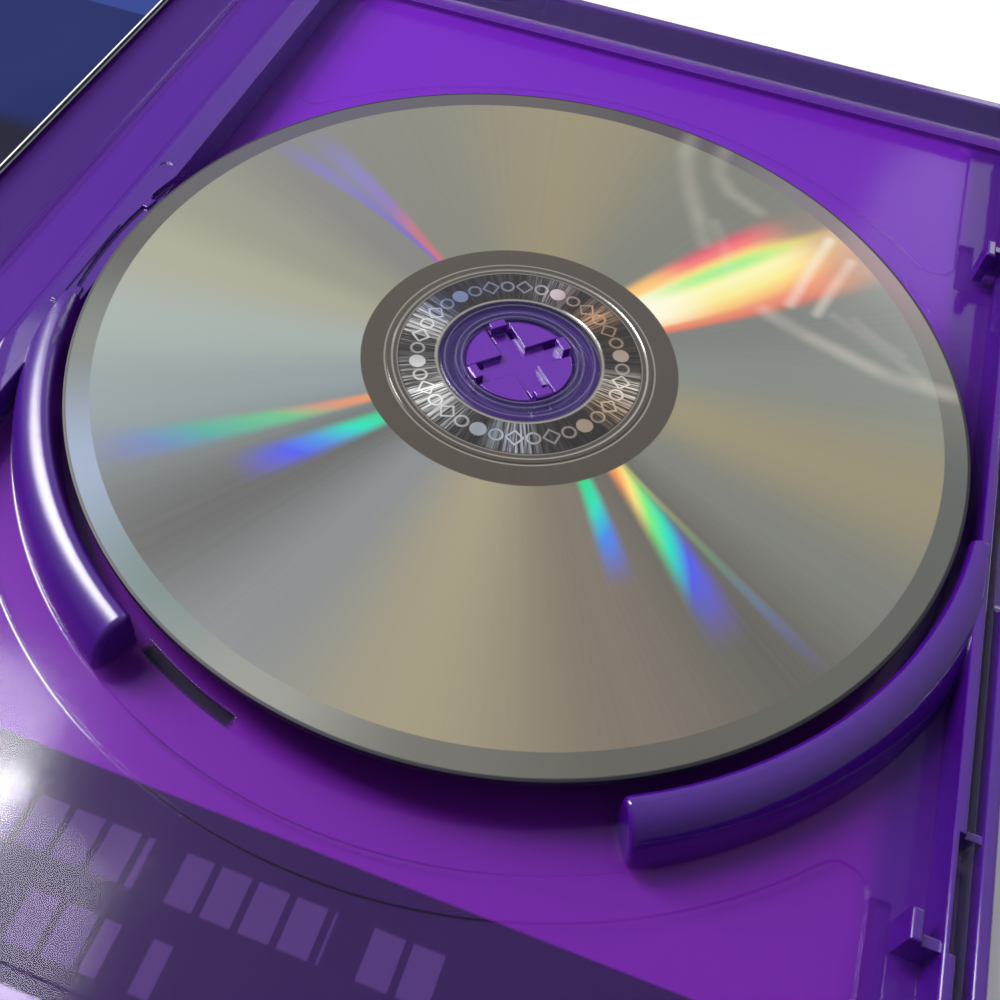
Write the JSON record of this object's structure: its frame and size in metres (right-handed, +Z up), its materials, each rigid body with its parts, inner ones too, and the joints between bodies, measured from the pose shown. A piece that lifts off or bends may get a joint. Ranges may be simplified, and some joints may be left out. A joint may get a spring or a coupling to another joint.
{
  "type": "game disc case",
  "caption": "Open hinged keep case in translucent purple plastic, with an optical disc on its hub, a booklet clipped in the cover and a printed insert under a clear outer sleeve",
  "frame": {"origin": "under the middle of the spine, on the surface that the opened case lies on", "axes": "+X across the open case towards the tray's opening edge, +Y towards the case's top edge, +Z up out of the tray"},
  "size_m": [0.2804, 0.19, 0.0087],
  "materials": {
    "case_plastic": "translucent purple polypropylene, moulded, low gloss",
    "disc_mirror": "clear polycarbonate over a metal mirror layer, data side up",
    "booklet_paper": "coated booklet paper, dark blue print",
    "clear_film": "clear polypropylene sleeve film",
    "insert_paper": "coated insert paper, plain dark print"
  },
  "bodies": {
    "tray": {"disc_tray": "case_plastic", "disc": "disc_mirror", "rear_film": "clear_film", "rear_insert": "insert_paper"},
    "spine": {"spine_panel": "case_plastic", "spine_film": "clear_film", "spine_insert": "insert_paper"},
    "cover": {"front_cover": "case_plastic", "booklet": "booklet_paper", "front_film": "clear_film", "front_insert": "insert_paper"}
  },
  "joints": [
    {"name": "rear_hinge", "type": "hinge", "parent": "tray", "child": "spine", "pos_m": [0.0061, 0, 0.0009], "axis": [0, 1, 0], "range_deg": [0, 90]},
    {"name": "front_hinge", "type": "hinge", "parent": "spine", "child": "cover", "pos_m": [-0.0061, 0, 0.0009], "axis": [0, 1, 0], "range_deg": [0, 90]}
  ]
}
